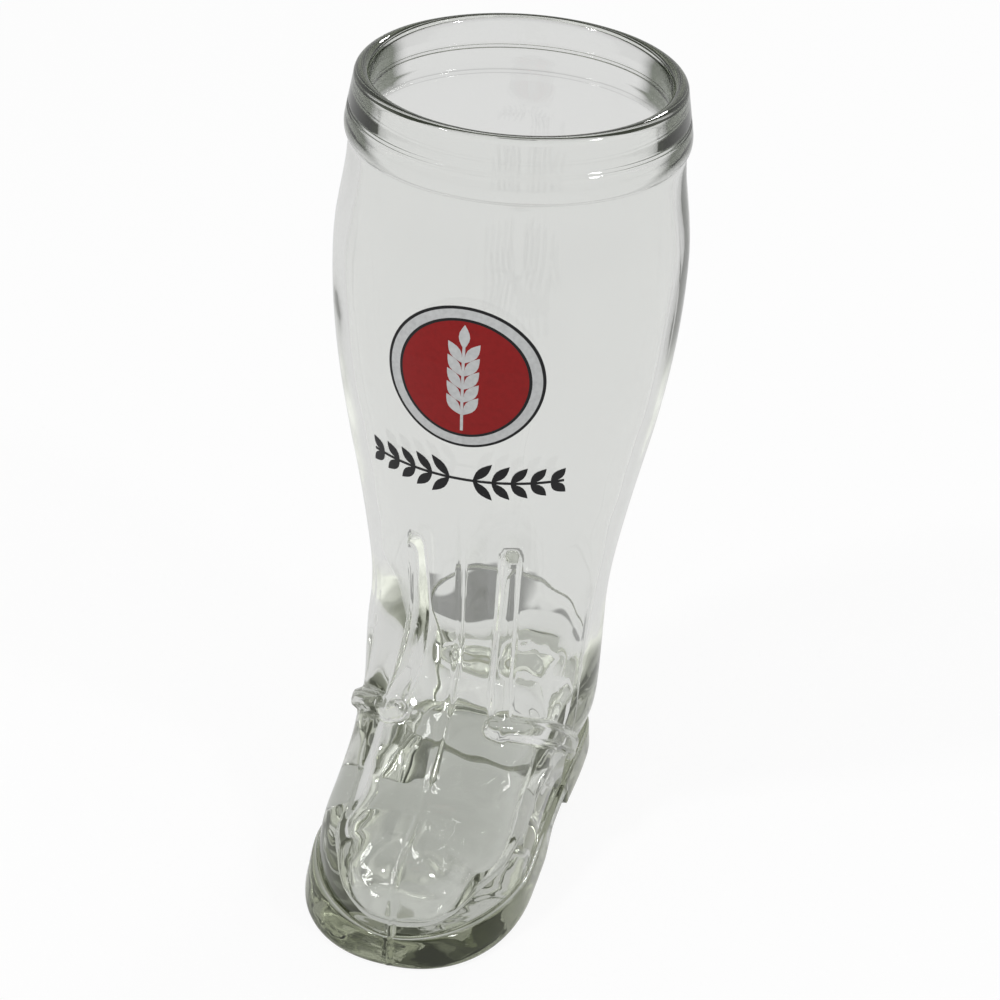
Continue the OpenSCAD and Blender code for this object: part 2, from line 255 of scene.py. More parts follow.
@dataclass
class Leg:
    """The leg of the boot, round about the axis, with its flared collar.

    The flare's steps are shares of the way up the collar with the depth of its grooves. The steps of
    the collar's underside are millimetres outwards and upwards.
    """

    height: float = CAD_BOX[1].z
    calf_r: float = 0.04325
    calf_z: float = 0.153
    ankle_r: float = 0.0304
    ankle_z: float = 0.054
    neck_r: float = 0.0403
    neck_z: float = 0.183
    lip_r: float = 0.0395
    lip_rows: int = 13
    mouth_r: float = 0.0357
    collar_r: float = 0.0414
    collar_z: float = 0.18725
    groove: float = 0.00022
    wall: float = 0.0042
    swell_up: float = 0.9
    swell_down: float = 1.15
    flare: Table = (
        (0.88, 0), (0.74, 0), (0.60, 0), (0.50, 0), (0.465, 0), (0.448, 0.2), (0.435, 0.9), (0.42, 1),
        (0.405, 0.9), (0.392, 0.2), (0.38, 0), (0.368, 0.2), (0.355, 0.9), (0.34, 1), (0.325, 0.9),
        (0.312, 0.2), (0.295, 0), (0.2, 0), (0.1, 0), (0.02, 0))
    underside: Table = (
        (0.0, -0.5), (-0.02, -1.1), (-0.09, -1.7), (-0.22, -2.15), (-0.42, -2.5), (-0.64, -2.75),
        (-0.82, -3.0), (-0.94, -3.4), (-1.02, -3.9), (-1.07, -4.6))

    def radius(self, z: Array) -> Array:
        """Outer radius at height z: cosine slopes from the ankle to the calf and on to the neck.

        Args:
            z: heights.

        Returns:
            The radii.
        """
        up = np.clip((z - self.ankle_z) / (self.calf_z - self.ankle_z), 0, 1) ** self.swell_up
        down = np.clip((z - self.calf_z) / (self.neck_z - self.calf_z), 0, 1) ** self.swell_down
        low = mix(self.ankle_r, self.calf_r, ease(up))
        return np.where(z > self.calf_z, mix(self.calf_r, self.neck_r, ease(down)), low)

    def collar_rows(self) -> list[Span]:
        """Radius and height of the rows over the round lip and down the collar with its two grooves.

        Returns:
            The rows, from the mouth down.
        """
        r = (self.lip_r - self.mouth_r) / 2
        top = self.height - r
        angles = np.radians(np.linspace(180, 0, self.lip_rows))
        lip = [(self.lip_r - r + r * math.cos(a), top + r * math.sin(a)) for a in angles]
        flare = [(mix(self.collar_r, self.lip_r, t) - self.groove * g, mix(self.collar_z, top, t))
                 for t, g in self.flare]
        return lip + flare + [(self.collar_r + a * MM, self.collar_z + b * MM) for a, b in self.underside]


@dataclass
class Foot:
    """The foot: a heel column under the leg, and a vamp of domes in front of it, on a sole.

    The powers are those of superellipses: 2 is an ellipse, and more is squarer. What is widened starts
    below and before a place and grows over a length. The instep is the line of the vamp's top, as y
    and z. The levels of the sole are height and inset in millimetres and the power of the toe's plan.
    """

    leg: Leg
    toe_reach: float = 0.0889
    heel_reach: float = 0.036
    ball_y: float = -0.052
    sole_w: float = 0.0571
    heel_w: float = 0.0556
    sole_z: float = 0.008
    welt_in: float = 0.0016
    ledge: float = 0.0004
    seat_reach: float = 0.027
    root_z: float = 0.00675
    arch_z: float = 0.0055
    breast_y: float = -0.011
    breast_slope: float = 0.0012
    arch_y: float = -0.038
    arch_slope: float = 0.011
    blend: float = 0.006
    drop_power: float = 2.6
    toe_power: float = 1.8
    heel_power: float = 2.3
    vamp_powers: Span = (2.75, 2.85)
    vamp_change: float = 0.022
    vamp_size: float = 0.024
    vamp_back: float = -0.012
    widen_left: float = 0.046
    widen_right: float = -0.034
    widen_below: Span = (0.066, 0.02)
    widen_before: Span = (0.006, 0.03)
    ankle_span: Span = (0.0905, 0.0610)
    ankle_count: int = 24
    ring_top: float = 0.060
    ring_middle: float = -0.022
    ring_hinge: float = 0.032
    instep_below: float = 0.056
    welt_back: float = 0.0022
    welt_up: float = 0.0004
    instep: Table = (
        (-0.0885, 0.0060), (-0.0879, 0.0130), (-0.0866, 0.0182), (-0.0850, 0.0222), (-0.0822, 0.0250),
        (-0.0778, 0.0265), (-0.0697, 0.0275), (-0.0626, 0.0288), (-0.0559, 0.0316), (-0.0490, 0.0360),
        (-0.0425, 0.0405), (-0.0370, 0.0450), (-0.0330, 0.0500), (-0.0300, 0.0570), (-0.0270, 0.0640),
        (-0.0220, 0.0740), (-0.0100, 0.0900))
    levels: Table = (
        (8.02, 1.86, 1.8), (8.2, 1.72, 1.8), (8.42, 1.5, 1.8), (8.5, 1.22, 1.81), (8.42, 0.95, 1.83),
        (8.2, 0.75, 1.86), (7.85, 0.62, 1.9), (7.2, 0.52, 1.95), (6.0, 0.42, 2.05), (4.0, 0.26, 2.15),
        (2.2, 0.08, 2.25), (1.2, 0.06, 2.25), (0.55, 0.32, 2.25), (0.18, 0.75, 2.25), (0.0, 1.4, 2.25))

    def __post_init__(self) -> None:
        """Samples the instep line once, as the height of the vamp's top over y."""
        self.line = smooth_line(self.instep, count=400)
        order = np.argsort(self.line[:, 0])
        self.top_y, self.top_z = self.line[order, 0], self.line[order, 1]

    def plan_half(self, y: Array, inset: float, power: float) -> Array:
        """Half width of the plan at y: superellipses before the ball and behind the heel's middle.

        Args:
            y: places along the boot.
            inset: how far the plan is drawn in.
            power: the toe's superellipse.

        Returns:
            The half widths.
        """
        toe, heel, middle = self.toe_reach - inset, self.heel_reach - inset, self.heel_reach / 4
        ahead = np.clip((self.ball_y - y) / (toe + self.ball_y), 0, 1)
        behind = np.clip((y - middle) / (heel - middle), 0, 1)
        along = np.clip((y - self.ball_y) / (middle - self.ball_y), 0, 1)
        waist = mix(self.sole_w, self.heel_w, along) / 2 - inset
        front = (1 - ahead**power) ** (1 / power)
        return waist * front * (1 - behind**self.heel_power) ** (1 / self.heel_power)

    def vamp(self, p: Array) -> Array:
        """Signed distance, roughly, to the vamp: at each y a half superellipse on the plan's width.

        Args:
            p: places.

        Returns:
            The distances.
        """
        x, y, z = np.abs(p[..., 0]), p[..., 1], p[..., 2]
        top = np.interp(y, self.top_y, self.top_z)
        half = np.maximum(self.plan_half(y, self.welt_in + self.ledge, self.toe_power), 1e-5)
        rise = np.maximum(z - self.root_z, 0) / np.maximum(top - self.root_z, 1e-4)
        power = mix(*self.vamp_powers, ease((y - self.ball_y) / self.vamp_change))
        past_toe = -y - (self.toe_reach - self.welt_in - self.ledge)
        beyond = np.maximum(np.maximum(past_toe, y - self.vamp_back), 0)
        return (superellipse(x / half, rise, power) - 1) * self.vamp_size + beyond * 2

    def column(self, p: Array) -> Array:
        """Signed distance, roughly, to the leg and the heel: round above the ankle, squarer below it.

        Args:
            p: places.

        Returns:
            The distances.
        """
        x, y, z = np.abs(p[..., 0]), p[..., 1], p[..., 2]
        share = np.clip((self.leg.ankle_z - z) / (self.leg.ankle_z - self.sole_z), 0, 1)
        drop = ease(share**self.drop_power)
        round_r = self.leg.radius(z)
        edge = self.welt_in + self.ledge
        middle = self.heel_reach / 4 * drop
        half = mix(round_r, self.heel_w / 2 - edge, drop)
        back = mix(round_r, self.heel_reach - edge, drop) - middle
        front = mix(round_r, self.seat_reach, drop) + middle
        reach = np.where(y > middle, back, front)
        power = mix(2.0, self.heel_power, drop)
        return (superellipse(x / half, np.abs(y - middle) / reach, power) - 1) * round_r

    def distance(self, p: Array) -> Array:
        """Signed distance, roughly, to the whole outside above the welt."""
        return blend_union(self.column(p), self.vamp(p), self.blend)

    def spread(self, points: Array) -> Array:
        """Points with x stretched below the ankle before the heel, by another share on each side.

        Args:
            points: places.

        Returns:
            The places, moved.
        """
        x, y, z = points[..., 0], points[..., 1], points[..., 2]
        (top, tall), (back, deep) = self.widen_below, self.widen_before
        share = ease((top - z) / tall) * ease((back - y) / deep)
        wide = x * (1 + np.where(x < 0, self.widen_left, self.widen_right) * share)
        return np.stack([wide, y, z], -1)

    def under(self, y: Array) -> Array:
        """Height of the sole's underside at y: flat, with the arch between the sole and the heel.

        Args:
            y: places along the boot.

        Returns:
            The heights above the table.
        """
        up = ease((y - self.arch_y) / self.arch_slope)
        down = np.clip((self.breast_y - y) / self.breast_slope, 0, 1)
        return self.arch_z * up * ease(down)

    def on_sole(self, x: Array, y: Array, z: float) -> Array:
        """Places at x and y, whose z is counted from the sole's underside as it is over the arch."""
        low = self.under(y)
        return np.stack([x, y, low + (self.sole_z - low) * z / self.sole_z], -1)

    def plan(self, angle: Array, inset: float, power: float) -> Array:
        """The plan of the sole at angles from the toe: a superellipse about the ball and the heel.

        Args:
            angle: turns from the toe, to the right.
            inset: how far the plan is drawn in.
            power: the toe's superellipse.

        Returns:
            x and y for each angle.
        """
        toe, heel, middle = self.toe_reach - inset, self.heel_reach - inset, self.heel_reach / 4
        c, s = np.cos(angle), np.sin(angle)
        ahead = c > 0
        side = np.where(ahead, self.sole_w, self.heel_w) / 2 - inset
        n = np.where(ahead, power, self.heel_power)
        x = side * np.sign(s) * np.abs(s) ** (2 / n)
        front = self.ball_y - (toe + self.ball_y) * np.abs(c) ** (2 / n)
        back = middle + (heel - middle) * np.abs(c) ** (2 / n)
        return np.stack([x, np.where(ahead, front, back)], -1)

    def sole_ring(self, z: float, inset: float, power: float) -> Array:
        """A ring of the sole, with its points evenly spaced, from the toe round the right side.

        Args:
            z: height above the sole's underside.
            inset: how far the plan is drawn in.
            power: the toe's superellipse.

        Returns:
            The ring's points.
        """
        quarter = np.linspace(0, np.pi / 2, 400)
        right = np.vstack([self.plan(quarter[:-1], inset, power),
                           self.plan(np.pi / 2 + 1e-6 + quarter, inset, power)])
        length = length_along(right)
        at = np.linspace(0, length[-1], HALF_RING + 1)
        x, y = (np.interp(at, length, right[:, i]) for i in range(2))
        x[0] = x[-1] = 0
        return self.on_sole(np.r_[x, -x[-2:0:-1]], np.r_[y, y[-2:0:-1]], z)

    def ankle_rows(self) -> Array:
        """The level rings round the ankle, where the leg starts to run into the foot.

        Returns:
            The rings, from the leg down.
        """
        z = np.linspace(*self.ankle_span, self.ankle_count)
        across = np.broadcast_to(spokes(RING), (len(z), RING, 3))
        return search(self.distance, on_axis(z), across, reach=0.1)

    def upper_rows(self, count: int) -> Array:
        """The rings from the ankle down to the welt, each where a tilted plane cuts the outside.

        Args:
            count: how many rings.

        Returns:
            The rings, from the ankle down.
        """
        ankle = (-self.leg.ankle_r, self.ring_top)
        welt = (-self.toe_reach + self.welt_back, self.sole_z + self.welt_up)
        between = (self.line[:, 1] < self.instep_below) & (self.line[:, 1] > welt[1])
        front = smooth_line([ankle] + [tuple(p) for p in self.line[between][::-12]] + [welt], count)
        back_z = np.linspace(ankle[1], welt[1], count)
        share = np.linspace(0, 1, count)
        middle_y = mix(0.0, self.ring_middle, ease(share))
        slope = (front[:, 1] - back_z) / (front[:, 0] - self.ring_hinge)
        middle = np.stack([0 * share, middle_y, back_z + slope * (middle_y - self.ring_hinge)], -1)
        low = self.sole_ring(self.sole_z, self.welt_in, self.toe_power)
        turn = np.arctan2(low[:, 0], -(low[:, 1] - self.ring_middle)) % (2 * np.pi)
        angle = mix(turns(RING), turn, ease(share * 1.15)[:, None])
        direction = np.stack([np.sin(angle), -np.cos(angle), -np.cos(angle) * slope[:, None]], -1)
        return search(self.distance, middle[:, None], direction, reach=0.16)

    def sole_rows(self) -> Array:
        """The rings over the welt's raised ledge and down the side of the sole to the table."""
        return np.array([self.sole_ring(z * MM, inset * MM, power) for z, inset, power in self.levels])


@dataclass
class Hollow:
    """The inside: the leg's hollow above the ankle and the bulb of the foot.

    The bulb's rows are y, half width, underside and top. The mouth's steps are millimetres outwards
    from the mouth's radius, and height.
    """

    leg: Leg
    floor_z: float = 0.012
    shaft_power: int = 3
    bulb_power: float = 2.3
    blend: float = 0.007
    lean: float = 0.0016
    lean_from: Span = (-0.072, 0.02)
    lean_to: Span = (-0.004, 0.02)
    hinge: Span = (-0.046, 0.058)
    heel_reach: float = 0.038
    leg_span: Span = (0.183, 0.058)
    rows_each: int = 36
    bulb: Table = (
        (-0.0833, 0.0020, 0.0128, 0.0165), (-0.0826, 0.0075, 0.0104, 0.0192),
        (-0.0803, 0.0115, 0.0088, 0.0212), (-0.0765, 0.0141, 0.0085, 0.0225),
        (-0.0720, 0.0153, 0.0085, 0.0232), (-0.0682, 0.0160, 0.0086, 0.0236),
        (-0.0650, 0.0176, 0.0088, 0.0242), (-0.0612, 0.0192, 0.0090, 0.0249),
        (-0.0565, 0.0198, 0.0093, 0.0266), (-0.0490, 0.0199, 0.0099, 0.0305),
        (-0.0410, 0.0199, 0.0106, 0.0365), (-0.0330, 0.0201, 0.0113, 0.0425),
        (-0.0197, 0.0205, 0.0122, 0.0475), (0.0000, 0.0207, 0.0128, 0.0486),
        (0.0125, 0.0193, 0.0135, 0.0475), (0.0215, 0.0138, 0.0145, 0.0432),
        (0.0240, 0.0066, 0.0172, 0.0378))
    mouth: Table = (
        (0, 196.6), (0, 193.5), (0, 190.4), (0, 189.2), (0.02, 188.85), (0.09, 188.55), (0.14, 188.25),
        (0.16, 187.7), (0.17, 186.6), (0.20, 186.1), (0.28, 185.6), (0.36, 185.1), (0.40, 184.5))

    def __post_init__(self) -> None:
        """Samples the bulb's half width, underside and top over y."""
        self.rows = smooth_line(self.bulb, count=300)

    def shaft(self, p: Array) -> Array:
        """Signed distance, roughly, to the leg's hollow: a round shaft on half a superellipsoid.

        Args:
            p: places.

        Returns:
            The distances.
        """
        r, z = np.hypot(p[..., 0], p[..., 1]), p[..., 2]
        deep = np.maximum(self.leg.ankle_z - z, 0) / (self.leg.ankle_z - self.floor_z)
        inner = self.leg.radius(z) - self.leg.wall
        return (superellipse(r / inner, deep, self.shaft_power) - 1) * inner

    def bulb_distance(self, p: Array) -> Array:
        """Signed distance, roughly, to the foot's hollow, whose sections are superellipses.

        Args:
            p: places.

        Returns:
            The distances.
        """
        y, z = p[..., 1], p[..., 2]
        (toe, rise), (heel, fall) = self.lean_from, self.lean_to
        x = np.abs(p[..., 0] - self.lean * ease((y - toe) / rise) * ease((heel - y) / fall))
        half, low, high = (np.interp(y, self.rows[:, 0], self.rows[:, i]) for i in (1, 2, 3))
        beyond = np.maximum(np.maximum(self.rows[0, 0] - y, y - self.rows[-1, 0]), 0)
        middle, tall = (low + high) / 2, (high - low) / 2
        size = superellipse(x / half, np.abs(z - middle) / tall, self.bulb_power)
        return (size - 1) * np.minimum(half, tall) + beyond * 3

    def distance(self, p: Array) -> Array:
        """Signed distance, roughly, to the whole hollow."""
        return blend_union(self.shaft(p), self.bulb_distance(p), self.blend)

    def rows_down(self, count: int) -> list[Array]:
        """Rings from under the mouth down the leg, round the instep and out to the tip of the toe.

        Args:
            count: how many points a ring has.

        Returns:
            The rings, from the mouth to the toe.
        """
        around, turn = spokes(count), turns(count)
        level = np.broadcast_to(around, (self.rows_each, count, 3))
        out, z = np.array(self.mouth).T
        rings = list((self.leg.mouth_r + out * MM)[:, None, None] * around + on_axis(z * MM))
        deep = np.linspace(*self.leg_span, self.rows_each)
        rings += list(search(self.distance, on_axis(deep), level, reach=0.1))

        tilt = np.radians(np.linspace(2.5, 90, self.rows_each))
        reach = mix(-self.hinge[0], self.heel_reach, tilt / tilt[-1])
        back = np.stack([0 * tilt, np.cos(tilt), -np.sin(tilt)], -1)
        start = np.array([0, *self.hinge]) + back * reach[:, None]
        away = around[:, 1:2] * back[:, None] + around[:, :1] * np.array([1.0, 0, 0])
        rings += list(search(self.distance, start[:, None], away, reach=0.12))

        y = mix(self.hinge[0], self.rows[0, 0], np.sin(np.linspace(0, np.pi / 2, 27))[1:-1])
        middle = np.interp(y, self.rows[:, 0], (self.rows[:, 2] + self.rows[:, 3]) / 2)
        start = np.stack([0 * y, y, middle], -1)
        upright = np.stack([np.sin(turn), 0 * turn, np.cos(turn)], -1)
        upright = np.broadcast_to(upright, (len(y), count, 3))
        return rings + list(search(self.distance, start[:, None], upright, reach=0.1))

    def tip(self) -> Array:
        """The last point of the hollow, in the tip of the toe."""
        return np.array([0, self.rows[0, 0], (self.rows[0, 2] + self.rows[0, 3]) / 2])


@dataclass
class Relief:
    """What stands out of the outside: straps, studs, shin ribs, heel counter and mould seam."""

    foot: Foot
    strap_half: float = 0.0030
    strap_out: float = 0.0022
    stud_r: float = 0.0027
    stud_out: float = 0.0030
    core_share: float = 0.4
    core_y: float = -0.008
    rib_x: float = 0.0129
    rib_y: float = -0.035
    rib_halves: Span = (0.0033, 0.0027)
    rib_out: float = 0.0021
    rib_power: float = 1.9
    rib_low: float = 0.0405
    rib_high: float = 0.0865
    counter_out: float = 0.0011
    counter_low: float = 0.011
    counter_high: float = 0.046
    counter_middle: float = 0.006
    counter_turns: Span = (62, 52)
    counter_round: float = 0.45
    counter_slope: float = 0.00055
    scallop: float = 0.0003
    scallops: int = 7
    seam_out: float = 0.00030
    seam_half: float = 0.0008
    seam_foot: float = 2.2
    seam_foot_z: float = 0.045
    seam_span: Span = (0.0005, 0.178)
    seam_ends: Span = (0.001, 0.004)
    print_span: Span = (0.1, 0.163)
    print_edge: float = 0.003
    print_sink: float = 0.00003
    strap_way: Table = (
        (0.0124, -0.0400, 0.0410), (0.0150, -0.0390, 0.0407), (0.0175, -0.0376, 0.0400),
        (0.0203, -0.0356, 0.0388), (0.0225, -0.0330, 0.0373), (0.0246, -0.0290, 0.0346),
        (0.0256, -0.0245, 0.0312), (0.0260, -0.0190, 0.0268), (0.0263, -0.0135, 0.0222),
        (0.0262, -0.0085, 0.0172), (0.0260, -0.0045, 0.0120))

    def __post_init__(self) -> None:
        """Lays the strap's and the rib's middle lines on the smooth outside."""
        self.strap_path = self.on_skin(smooth_line(self.strap_way, count=28))
        z = np.linspace(self.rib_low, self.rib_high, 18)
        self.rib_path = self.on_skin(np.stack([0 * z + self.rib_x, 0 * z + self.rib_y, z], -1))

    def on_skin(self, way: Array) -> Array:
        """Moves places level with the table onto the smooth outside, from a line inside the ankle.

        Args:
            way: places near the outside.

        Returns:
            The places on the outside.
        """
        start = np.stack([self.core_share * way[:, 0], 0 * way[:, 1] + self.core_y, way[:, 2]], -1)
        direction = way - start
        direction /= np.linalg.norm(direction, axis=1, keepdims=True)
        return search(self.foot.distance, start, direction, reach=0.08)

    def away(self, q: Array, path: Array) -> Array:
        """Distance from each place to a line of points, one stretch after the other.

        Args:
            q: places, with both sides folded to x above 0.
            path: the line's points.

        Returns:
            The distances.
        """
        best = np.full(q.shape[:-1], 1.0)
        for a, b in zip(path[:-1], path[1:]):
            along = np.clip(((q - a) @ (b - a)) / ((b - a) @ (b - a)), 0, 1)
            best = np.minimum(best, np.linalg.norm(q - a - along[..., None] * (b - a), axis=-1))
        return best

    def straps(self, q: Array) -> Array:
        """Height of strap and stud: a round ridge along the strap's line, and a dome at its start.

        Args:
            q: places, with both sides folded to x above 0.

        Returns:
            The heights.
        """
        strap = self.strap_out * dome(self.away(q, self.strap_path) / self.strap_half)
        off = np.linalg.norm(q - self.strap_path[0], axis=-1)
        return np.maximum(strap, self.stud_out * dome(off / self.stud_r))

    def ribs(self, q: Array) -> Array:
        """Height of the shin's rib: a round ridge that is narrower at its top.

        Args:
            q: places, with both sides folded to x above 0.

        Returns:
            The heights.
        """
        share = np.clip((q[..., 2] - self.rib_low) / (self.rib_high - self.rib_low), 0, 1)
        off = self.away(q, self.rib_path) / mix(*self.rib_halves, share)
        return self.rib_out * dome(off, self.rib_power)

    def counter(self, q: Array) -> Array:
        """Height of the heel counter: a plate round the back, with a scalloped top.

        Args:
            q: places, with both sides folded to x above 0.

        Returns:
            The heights.
        """
        x, y, z = q[..., 0], q[..., 1], q[..., 2]
        share = np.clip((z - self.counter_low) / (self.counter_high - self.counter_low), 0, 1)
        turn = np.degrees(np.arctan2(x, y - self.counter_middle))
        reach = mix(*self.counter_turns, share) * (1 - self.counter_round * share**8)
        top = self.counter_high - self.scallop * np.abs(np.sin(np.radians(turn * self.scallops)))
        side = (reach - turn) * self.counter_slope
        inside = np.minimum(np.minimum(top - z, z - self.counter_low), side)
        return self.counter_out * ease(inside / self.counter_out) * (y > 0)

    def seam(self, q: Array, under_print: Array) -> Array:
        """Height of the mould seam: a low parabola on the middle plane, higher on the foot.

        Args:
            q: places, with both sides folded to x above 0.
            under_print: 1 where the print lies, and no seam is.

        Returns:
            The heights.
        """
        x, z = q[..., 0], q[..., 2]
        (low, high), (start, end) = self.seam_span, self.seam_ends
        tall = self.seam_out * mix(1, self.seam_foot, ease((self.seam_foot_z - z) / 0.01))
        seam = tall * np.clip(1 - (x / self.seam_half) ** 2, 0, 1)
        return seam * ease((z - low) / start) * ease((high - z) / end) * (1 - under_print)

    def height(self, p: Array) -> Array:
        """How far each place of the smooth outside moves out along its normal.

        Args:
            p: places of the smooth outside.

        Returns:
            The heights.
        """
        q = np.stack([np.abs(p[..., 0]), p[..., 1], p[..., 2]], -1)
        z, (low, high), edge = q[..., 2], self.print_span, self.print_edge
        under_print = (q[..., 1] < 0) * ease((z - low) / edge) * ease((high - z) / edge)
        forms = np.maximum.reduce([self.straps(q), self.ribs(q), self.counter(q)])
        return forms + self.seam(q, under_print) - self.print_sink * under_print


@dataclass
class GlassBoot:
    """The whole glass, one closed surface, and its material.

    The wave outside is its length, its seed and its height. The waves inside are length, seed, and
    height in the leg and in the foot, where foot_span is the top of the change and its length.
    """

    leg: Leg = field(default_factory=Leg)
    leg_span: Span = (0.1815, 0.092)
    leg_rows: int = 20
    upper_rows: int = 96
    wave_out: tuple[float, int, float] = (0.03, 8, 0.00007)
    waves_in: Table = ((0.045, 21, 0.00030, 0.00016), (0.018, 3, 0.00007, 0.00028), (0.008, 5, 0, 0.00009))
    foot_span: Span = (0.075, 0.05)
    print_span: Span = (0.097, 0.168)
    print_edge: float = 0.005

    def __post_init__(self) -> None:
        """Makes the forms that share the leg."""
        self.foot = Foot(self.leg)
        self.hollow = Hollow(self.leg)
        self.relief = Relief(self.foot)

    def outside(self) -> Array:
        """The rings of the outside, from the lip down to the edge of the sole, with the relief.

        Smooth waves are added along the normals, not on the lip, the sole's underside or under the print.

        Returns:
            The rings.
        """
        z = np.linspace(*self.leg_span, self.leg_rows)
        rows = np.vstack([self.leg.collar_rows(), np.stack([self.leg.radius(z), z], -1)])
        leg = rows[:, :1, None] * spokes(RING) + on_axis(rows[:, 1])
        foot = self.foot
        rings = np.concatenate([leg, foot.ankle_rows(), foot.upper_rows(self.upper_rows), foot.sole_rows()])
        n = normals(rings, sample=60)
        y, z = rings[..., 1], rings[..., 2]
        low, high = self.print_span
        print_place = (y < 0) * ease((z - low) / self.print_edge) * ease((high - z) / self.print_edge)
        length, seed, tall = self.wave_out
        wave = ripple(rings, length, seed) * tall * ease((0.180 - z) / 0.01)
        out = self.relief.height(rings) + wave * (1 - print_place) * (z > MM)
        out[:self.leg.lip_rows] = 0
        return self.foot.spread(rings + n * out[..., None])

    def inside(self) -> Array:
        """The rings of the hollow, from the toe up to the mouth, with waves along the normals.

        Returns:
            The rings.
        """
        rings = np.array(self.hollow.rows_down(HALF_RING)[::-1])
        n = normals(rings, sample=-30)
        z = rings[..., 2]
        top, tall = self.foot_span
        low = np.clip((top - z) / tall, 0, 1)
        wave = sum(ripple(rings, length, seed) * mix(leg, foot, low)
                   for length, seed, leg, foot in self.waves_in)
        return rings + n * (wave * ease((0.186 - z) / 0.01))[..., None]

    def surface(self) -> tuple[Array, list]:
        """Points and faces of the closed glass.

        The hollow's rings have half as many points as the outside's. Three triangles for each point
        of the mouth's ring join the two, and a fan closes the tip of the hollow.

        Returns:
            The points, and the faces as lists of indices.
        """
        inner, outer = self.inside(), self.outside()
        points = np.vstack([inner.reshape(-1, 3), outer.reshape(-1, 3), self.hollow.tip()])
        tip = len(points) - 1
        start = inner.shape[0] * inner.shape[1]
        quads = [grid_faces(len(inner), HALF_RING, 0), grid_faces(len(outer), RING, start)]
        k = np.arange(HALF_RING)
        j = (k + 1) % HALF_RING
        fan = np.stack([np.full(HALF_RING, tip), j, k], -1)
        last = start - HALF_RING
        a, b, c, d, e = last + k, last + j, start + 2 * k, start + 2 * k + 1, start + 2 * j
        join = [np.stack(corners, -1) for corners in ((a, d, c), (a, b, d), (b, e, d))]
        points, bottom_quads, bottom_ends = self.bottom(points, start + (len(outer) - 1) * RING)
        quads = np.vstack([*quads, bottom_quads])
        return points, quads.tolist() + np.vstack([fan, *join, bottom_ends]).tolist()

    def bottom(self, points: Array, start: int) -> tuple[Array, Array, Array]:
        """Closes the sole from side to side, so that its lines run along the arch's edges.

        Args:
            points: all points so far.
            start: index of the first point of the lowest ring.

        Returns:
            The points with those added, the quads and the end triangles.
        """
        steps = 10
        side = np.arange(1, HALF_RING)
        right, left = points[start + side], points[start + RING - side]
        share = np.linspace(0, 1, steps + 1)[1:-1]
        inner = right[:, None] + (left - right)[:, None] * share[None, :, None]
        index = np.empty((HALF_RING - 1, steps + 1), int)
        index[:, 0] = start + side
        index[:, -1] = start + RING - side
        index[:, 1:-1] = len(points) + np.arange(inner[..., 0].size).reshape(inner.shape[:2])
        quads = np.stack([index[:-1, :-1], index[1:, :-1], index[1:, 1:], index[:-1, 1:]], -1)
        toe = np.stack([np.full(steps, start), index[0, :-1], index[0, 1:]], -1)
        heel = np.stack([index[-1, :-1], np.full(steps, start + HALF_RING), index[-1, 1:]], -1)
        return np.vstack([points, inner.reshape(-1, 3)]), quads.reshape(-1, 4), np.vstack([toe, heel])

    def build(self) -> bpy.types.Object:
        """Makes the glass object in place of the plain solid, inside the box of the solids.

        Returns:
            The glass.
        """
        points, faces = self.surface()
        points = points + np.array([0, AXIS_Y, 0])
        points[:, 1] = np.clip(points[:, 1], CAD_BOX[0].y, CAD_BOX[1].y)
        mesh = bpy.data.meshes.new("glass_boot_clear")
        mesh.from_pydata(points.tolist(), [], faces)
        mesh.polygons.foreach_set("use_smooth", np.ones(len(mesh.polygons), bool))
        piece = bpy.data.objects.new("glass_boot_clear", mesh)
        bpy.context.collection.objects.link(piece)
        outward(mesh)
        mesh.materials.append(ClearGlass().material())
        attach(piece, "root")
        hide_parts("glass_boot")
        return piece


# Finishes


